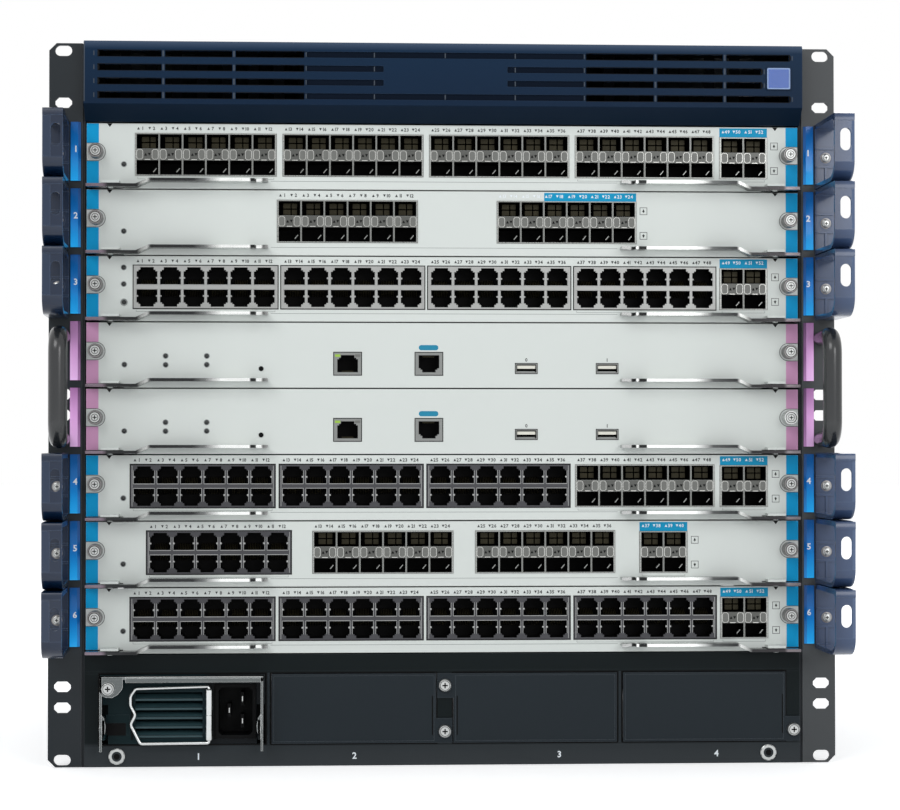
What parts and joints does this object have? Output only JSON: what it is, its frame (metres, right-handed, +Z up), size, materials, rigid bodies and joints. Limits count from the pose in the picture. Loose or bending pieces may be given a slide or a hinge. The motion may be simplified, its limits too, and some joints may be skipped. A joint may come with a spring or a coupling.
{
  "type": "modular chassis switch",
  "caption": "Rack-mount modular network chassis: sliding line cards with ejector levers, cable rings, carry handles, a vent bezel, a rear fan tray and a power supply with a bail.",
  "frame": {"origin": "under the middle of the whole assembly, on the surface that the chassis stands on", "axes": "+X to the right as seen from the front, +Y from the front into the rack, +Z up"},
  "size_m": [0.4826, 0.4916, 0.441],
  "materials": {
    "chassis_steel": "fine satin paint",
    "guide_plastic": "matte",
    "ear_steel": "satin dark grey paint",
    "bezel_plastic": "satin navy",
    "screen_steel": "plain sheet",
    "frame_steel": "satin near-black navy",
    "screw_steel": "turned, plain",
    "bracket_plastic": "satin navy",
    "handle_bar": "black satin",
    "board": "solder mask",
    "rotor_plastic": "matte black",
    "supply_steel": "satin",
    "inlet_plastic": "matte black",
    "bail_zinc": "zinc plated",
    "clip_chrome": "bright wire",
    "card_panel": "satin warm grey",
    "lever_sheet": "polished sheet",
    "copper_housing": "moulded grey",
    "optic_cage": "plated sheet",
    "button_plastic": "matte"
  },
  "bodies": {
    "chassis": {"chassis_shell": "chassis_steel", "card_guides": "guide_plastic", "rack_ears": "ear_steel", "vent_bezel": "bezel_plastic", "vent_screen": "screen_steel", "power_frame": "frame_steel", "power_partitions": "chassis_steel", "power_blanks": "frame_steel", "chassis_fasteners": "screw_steel", "cable_brackets": "bracket_plastic", "carry_handles": "handle_bar", "backplane": "board"},
    "card_1": {"card_1_panel": "card_panel", "card_1_board": "board", "card_1_ports": "optic_cage"},
    "card_1_lever_left": {"card_1_lever_left": "lever_sheet"},
    "card_1_lever_right": {"card_1_lever_right": "lever_sheet"},
    "card_2": {"card_2_panel": "card_panel", "card_2_board": "board", "card_2_ports": "optic_cage"},
    "card_2_lever_left": {"card_2_lever_left": "lever_sheet"},
    "card_2_lever_right": {"card_2_lever_right": "lever_sheet"},
    "card_3": {"card_3_panel": "card_panel", "card_3_board": "board", "card_3_ports": "copper_housing"},
    "card_3_lever_left": {"card_3_lever_left": "lever_sheet"},
    "card_3_lever_right": {"card_3_lever_right": "lever_sheet"},
    "card_4": {"card_4_panel": "card_panel", "card_4_board": "board"},
    "card_4_lever_left": {"card_4_lever_left": "lever_sheet"},
    "card_4_lever_right": {"card_4_lever_right": "lever_sheet"},
    "card_5": {"card_5_panel": "card_panel", "card_5_board": "board"},
    "card_5_lever_left": {"card_5_lever_left": "lever_sheet"},
    "card_5_lever_right": {"card_5_lever_right": "lever_sheet"},
    "card_6": {"card_6_panel": "card_panel", "card_6_board": "board", "card_6_ports": "copper_housing"},
    "card_6_lever_left": {"card_6_lever_left": "lever_sheet"},
    "card_6_lever_right": {"card_6_lever_right": "lever_sheet"},
    "card_7": {"card_7_panel": "card_panel", "card_7_board": "board", "card_7_ports": "copper_housing"},
    "card_7_lever_left": {"card_7_lever_left": "lever_sheet"},
    "card_7_lever_right": {"card_7_lever_right": "lever_sheet"},
    "card_8": {"card_8_panel": "card_panel", "card_8_board": "board", "card_8_ports": "copper_housing"},
    "card_8_lever_left": {"card_8_lever_left": "lever_sheet"},
    "card_8_lever_right": {"card_8_lever_right": "lever_sheet"},
    "card_3_mode_button": {"card_3_mode_button": "button_plastic"},
    "card_4_reset_button": {"card_4_reset_button": "button_plastic"},
    "card_5_reset_button": {"card_5_reset_button": "button_plastic"},
    "fan_tray": {"fan_tray": "screen_steel"},
    "fan_rotor_upper": {"fan_rotor_upper": "rotor_plastic"},
    "fan_rotor_lower": {"fan_rotor_lower": "rotor_plastic"},
    "power_supply": {"supply_case": "supply_steel", "supply_inlet": "inlet_plastic"},
    "supply_bail": {"supply_bail": "bail_zinc"},
    "cord_clip": {"cord_clip": "clip_chrome"}
  },
  "joints": [
    {"name": "card_1_slide", "type": "slide", "parent": "chassis", "child": "card_1", "axis": [0, -1, 0], "range_m": [0, 0.31]},
    {"name": "card_1_left_lever_turn", "type": "hinge", "parent": "card_1", "child": "card_1_lever_left", "pos_m": [-0.2034, -0.1918, 0.3536], "axis": [0, 0, -1], "range_deg": [0, 65]},
    {"name": "card_1_right_lever_turn", "type": "hinge", "parent": "card_1", "child": "card_1_lever_right", "pos_m": [0.2034, -0.1918, 0.3536], "axis": [0, 0, 1], "range_deg": [0, 65]},
    {"name": "card_2_slide", "type": "slide", "parent": "chassis", "child": "card_2", "axis": [0, -1, 0], "range_m": [0, 0.31]},
    {"name": "card_2_left_lever_turn", "type": "hinge", "parent": "card_2", "child": "card_2_lever_left", "pos_m": [-0.2034, -0.1918, 0.3131], "axis": [0, 0, -1], "range_deg": [0, 65]},
    {"name": "card_2_right_lever_turn", "type": "hinge", "parent": "card_2", "child": "card_2_lever_right", "pos_m": [0.2034, -0.1918, 0.3131], "axis": [0, 0, 1], "range_deg": [0, 65]},
    {"name": "card_3_slide", "type": "slide", "parent": "chassis", "child": "card_3", "axis": [0, -1, 0], "range_m": [0, 0.31]},
    {"name": "card_3_left_lever_turn", "type": "hinge", "parent": "card_3", "child": "card_3_lever_left", "pos_m": [-0.2034, -0.1918, 0.2726], "axis": [0, 0, -1], "range_deg": [0, 65]},
    {"name": "card_3_right_lever_turn", "type": "hinge", "parent": "card_3", "child": "card_3_lever_right", "pos_m": [0.2034, -0.1918, 0.2726], "axis": [0, 0, 1], "range_deg": [0, 65]},
    {"name": "card_4_slide", "type": "slide", "parent": "chassis", "child": "card_4", "axis": [0, -1, 0], "range_m": [0, 0.31]},
    {"name": "card_4_left_lever_turn", "type": "hinge", "parent": "card_4", "child": "card_4_lever_left", "pos_m": [-0.2034, -0.1918, 0.2321], "axis": [0, 0, -1], "range_deg": [0, 65]},
    {"name": "card_4_right_lever_turn", "type": "hinge", "parent": "card_4", "child": "card_4_lever_right", "pos_m": [0.2034, -0.1918, 0.2321], "axis": [0, 0, 1], "range_deg": [0, 65]},
    {"name": "card_5_slide", "type": "slide", "parent": "chassis", "child": "card_5", "axis": [0, -1, 0], "range_m": [0, 0.31]},
    {"name": "card_5_left_lever_turn", "type": "hinge", "parent": "card_5", "child": "card_5_lever_left", "pos_m": [-0.2034, -0.1918, 0.1916], "axis": [0, 0, -1], "range_deg": [0, 65]},
    {"name": "card_5_right_lever_turn", "type": "hinge", "parent": "card_5", "child": "card_5_lever_right", "pos_m": [0.2034, -0.1918, 0.1916], "axis": [0, 0, 1], "range_deg": [0, 65]},
    {"name": "card_6_slide", "type": "slide", "parent": "chassis", "child": "card_6", "axis": [0, -1, 0], "range_m": [0, 0.31]},
    {"name": "card_6_left_lever_turn", "type": "hinge", "parent": "card_6", "child": "card_6_lever_left", "pos_m": [-0.2034, -0.1918, 0.1511], "axis": [0, 0, -1], "range_deg": [0, 65]},
    {"name": "card_6_right_lever_turn", "type": "hinge", "parent": "card_6", "child": "card_6_lever_right", "pos_m": [0.2034, -0.1918, 0.1511], "axis": [0, 0, 1], "range_deg": [0, 65]},
    {"name": "card_7_slide", "type": "slide", "parent": "chassis", "child": "card_7", "axis": [0, -1, 0], "range_m": [0, 0.31]},
    {"name": "card_7_left_lever_turn", "type": "hinge", "parent": "card_7", "child": "card_7_lever_left", "pos_m": [-0.2034, -0.1918, 0.1106], "axis": [0, 0, -1], "range_deg": [0, 65]},
    {"name": "card_7_right_lever_turn", "type": "hinge", "parent": "card_7", "child": "card_7_lever_right", "pos_m": [0.2034, -0.1918, 0.1106], "axis": [0, 0, 1], "range_deg": [0, 65]},
    {"name": "card_8_slide", "type": "slide", "parent": "chassis", "child": "card_8", "axis": [0, -1, 0], "range_m": [0, 0.31]},
    {"name": "card_8_left_lever_turn", "type": "hinge", "parent": "card_8", "child": "card_8_lever_left", "pos_m": [-0.2034, -0.1918, 0.0701], "axis": [0, 0, -1], "range_deg": [0, 65]},
    {"name": "card_8_right_lever_turn", "type": "hinge", "parent": "card_8", "child": "card_8_lever_right", "pos_m": [0.2034, -0.1918, 0.0701], "axis": [0, 0, 1], "range_deg": [0, 65]},
    {"name": "card_3_mode_press", "type": "slide", "parent": "card_3", "child": "card_3_mode_button", "axis": [0, 1, 0], "range_m": [0, 0.0008], "stiffness_N_per_m": 1500, "springref_m": -0.0003},
    {"name": "card_4_reset_press", "type": "slide", "parent": "card_4", "child": "card_4_reset_button", "axis": [0, 1, 0], "range_m": [0, 0.0008], "stiffness_N_per_m": 1500, "springref_m": -0.0003},
    {"name": "card_5_reset_press", "type": "slide", "parent": "card_5", "child": "card_5_reset_button", "axis": [0, 1, 0], "range_m": [0, 0.0008], "stiffness_N_per_m": 1500, "springref_m": -0.0003},
    {"name": "fan_tray_slide", "type": "slide", "parent": "chassis", "child": "fan_tray", "axis": [0, 1, 0], "range_m": [0, 0.06]},
    {"name": "fan_upper_spin", "type": "hinge", "parent": "fan_tray", "child": "fan_rotor_upper", "pos_m": [0, 0.2242, 0.3006], "axis": [0, 1, 0], "continuous": true},
    {"name": "fan_lower_spin", "type": "hinge", "parent": "fan_tray", "child": "fan_rotor_lower", "pos_m": [0, 0.2242, 0.1606], "axis": [0, 1, 0], "continuous": true},
    {"name": "supply_slide", "type": "slide", "parent": "chassis", "child": "power_supply", "axis": [0, -1, 0], "range_m": [0, 0.28]},
    {"name": "bail_turn", "type": "hinge", "parent": "power_supply", "child": "supply_bail", "pos_m": [-0.1598, -0.1948, 0.024], "axis": [1, 0, 0], "range_deg": [0, 80]},
    {"name": "clip_turn", "type": "hinge", "parent": "power_supply", "child": "cord_clip", "pos_m": [-0.1435, -0.19, 0.032], "axis": [0, 0, 1], "range_deg": [0, 100]}
  ]
}
